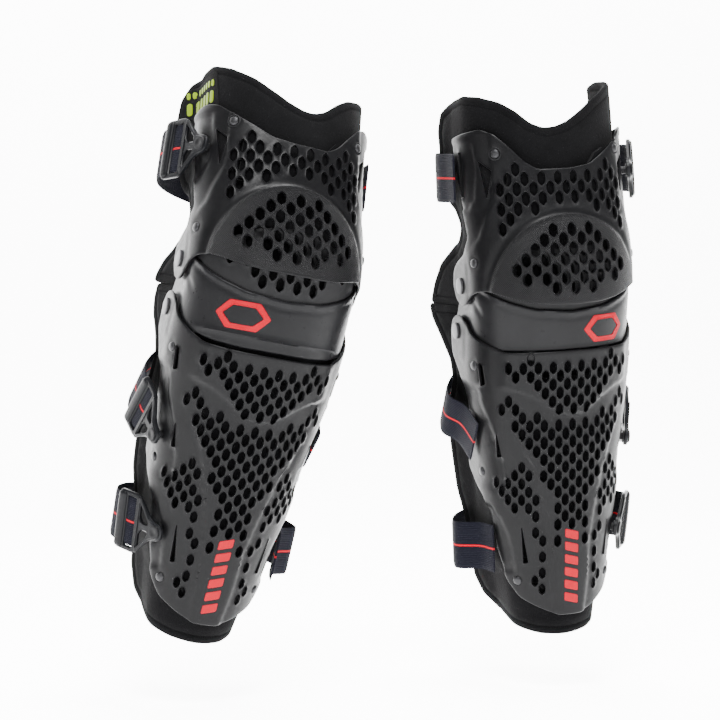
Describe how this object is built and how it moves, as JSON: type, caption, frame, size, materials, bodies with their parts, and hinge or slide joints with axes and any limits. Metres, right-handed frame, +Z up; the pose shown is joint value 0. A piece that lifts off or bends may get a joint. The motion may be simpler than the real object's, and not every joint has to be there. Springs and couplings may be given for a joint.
{
  "type": "knee guards",
  "caption": "Pair of hinged hard-shell knee and shin guards with perforated plates, fabric liners and buckled leg straps.",
  "frame": {"origin": "midway between the two knees, at the height of the middle of the knee hinges", "axes": "+Z up the legs, -Y the front, +X to the wearer's left"},
  "size_m": [0.4973, 0.2008, 0.5067],
  "materials": {
    "shell_plastic": "satin moulded",
    "band_plastic": "satin",
    "plate_plastic": "matte",
    "liner_fabric": "knitted mesh over foam",
    "foam": "closed-cell foam",
    "strap_webbing": "ribbed elastic",
    "buckle_plastic": "satin moulded",
    "stud_plastic": "satin",
    "rivet_metal": "satin",
    "pivot_metal": "satin anodised",
    "mark_red": "printed",
    "label_print": "printed"
  },
  "bodies": {
    "right_thigh": {"thigh_shell_right": "shell_plastic", "thigh_foam_right": "foam", "thigh_liner_right": "liner_fabric", "thigh_rivets_right": "rivet_metal", "thigh_strap_right": "strap_webbing", "thigh_stud_right": "stud_plastic", "size_label_right": "label_print"},
    "right_band": {"knee_band_right": "band_plastic", "knee_plate_right": "plate_plastic", "knee_pad_right": "liner_fabric", "upper_pivot_rivets_right": "pivot_metal", "lower_pivot_rivets_right": "pivot_metal", "band_mark_right": "mark_red"},
    "right_shin": {"shin_shell_right": "shell_plastic", "shin_foam_right": "foam", "shin_liner_right": "liner_fabric", "shin_rivets_right": "rivet_metal", "shin_mark_right": "mark_red", "calf_strap_right": "strap_webbing", "calf_stud_right": "stud_plastic", "ankle_strap_right": "strap_webbing", "ankle_stud_right": "stud_plastic"},
    "right_thigh_buckle": {"thigh_buckle_right": "buckle_plastic", "thigh_strap_end_right": "strap_webbing"},
    "right_calf_buckle": {"calf_buckle_right": "buckle_plastic", "calf_strap_end_right": "strap_webbing"},
    "right_ankle_buckle": {"ankle_buckle_right": "buckle_plastic", "ankle_strap_end_right": "strap_webbing"},
    "left_thigh": {"thigh_shell_left": "shell_plastic", "thigh_foam_left": "foam", "thigh_liner_left": "liner_fabric", "thigh_rivets_left": "rivet_metal", "thigh_strap_left": "strap_webbing", "thigh_stud_left": "stud_plastic"},
    "left_band": {"knee_band_left": "band_plastic", "knee_plate_left": "plate_plastic", "knee_pad_left": "liner_fabric", "upper_pivot_rivets_left": "pivot_metal", "lower_pivot_rivets_left": "pivot_metal", "band_mark_left": "mark_red"},
    "left_shin": {"shin_shell_left": "shell_plastic", "shin_foam_left": "foam", "shin_liner_left": "liner_fabric", "shin_rivets_left": "rivet_metal", "shin_mark_left": "mark_red", "calf_strap_left": "strap_webbing", "calf_stud_left": "stud_plastic", "ankle_strap_left": "strap_webbing", "ankle_stud_left": "stud_plastic"},
    "left_thigh_buckle": {"thigh_buckle_left": "buckle_plastic", "thigh_strap_end_left": "strap_webbing"},
    "left_calf_buckle": {"calf_buckle_left": "buckle_plastic", "calf_strap_end_left": "strap_webbing"},
    "left_ankle_buckle": {"ankle_buckle_left": "buckle_plastic", "ankle_strap_end_left": "strap_webbing"}
  },
  "joints": [
    {"name": "right_shin_hinge", "type": "hinge", "parent": "right_shin", "child": "right_band", "pos_m": [-0.13755, -0.0001, -0.02072], "axis": [-0.9852, -0.0301, 0.169], "range_deg": [-9, 36]},
    {"name": "right_thigh_hinge", "type": "hinge", "parent": "right_band", "child": "right_thigh", "pos_m": [-0.13007, -0.01688, 0.01991], "axis": [-0.9852, -0.0301, 0.169], "range_deg": [-12, 33]},
    {"name": "right_thigh_buckle_swivel", "type": "hinge", "parent": "right_thigh", "child": "right_thigh_buckle", "pos_m": [-0.18621, -0.02609, 0.13053], "axis": [-0.8222, -0.5022, 0.2681], "range_deg": [-10, 10]},
    {"name": "right_calf_buckle_swivel", "type": "hinge", "parent": "right_shin", "child": "right_calf_buckle", "pos_m": [-0.2234, -0.01032, -0.11845], "axis": [-0.9377, -0.3472, -0.0108], "range_deg": [-10, 10]},
    {"name": "right_ankle_buckle_swivel", "type": "hinge", "parent": "right_shin", "child": "right_ankle_buckle", "pos_m": [-0.22103, -0.00273, -0.20229], "axis": [-0.8051, -0.5811, -0.1193], "range_deg": [-10, 10]},
    {"name": "left_shin_hinge", "type": "hinge", "parent": "left_shin", "child": "left_band", "pos_m": [0.1357, 0.00119, -0.02092], "axis": [-0.9964, 0.0311, -0.0791], "range_deg": [0, 45]},
    {"name": "left_thigh_hinge", "type": "hinge", "parent": "left_band", "child": "left_thigh", "pos_m": [0.13192, -0.01809, 0.01911], "axis": [-0.9964, 0.0311, -0.0791], "range_deg": [0, 45]},
    {"name": "left_thigh_buckle_swivel", "type": "hinge", "parent": "left_thigh", "child": "left_thigh_buckle", "pos_m": [0.19745, -0.05374, 0.11865], "axis": [0.8525, -0.5192, 0.0609], "range_deg": [-10, 10]},
    {"name": "left_calf_buckle_swivel", "type": "hinge", "parent": "left_shin", "child": "left_calf_buckle", "pos_m": [0.2119, -0.01965, -0.12477], "axis": [0.9296, -0.3629, -0.0646], "range_deg": [-10, 10]},
    {"name": "left_ankle_buckle_swivel", "type": "hinge", "parent": "left_shin", "child": "left_ankle_buckle", "pos_m": [0.20174, -0.01992, -0.20836], "axis": [0.7854, -0.6036, -0.1375], "range_deg": [-10, 10]},
    {"name": "pair_spacing", "type": "slide", "parent": "right_shin", "child": "left_shin", "axis": [1, 0, 0], "range_m": [0, 0.2]}
  ]
}
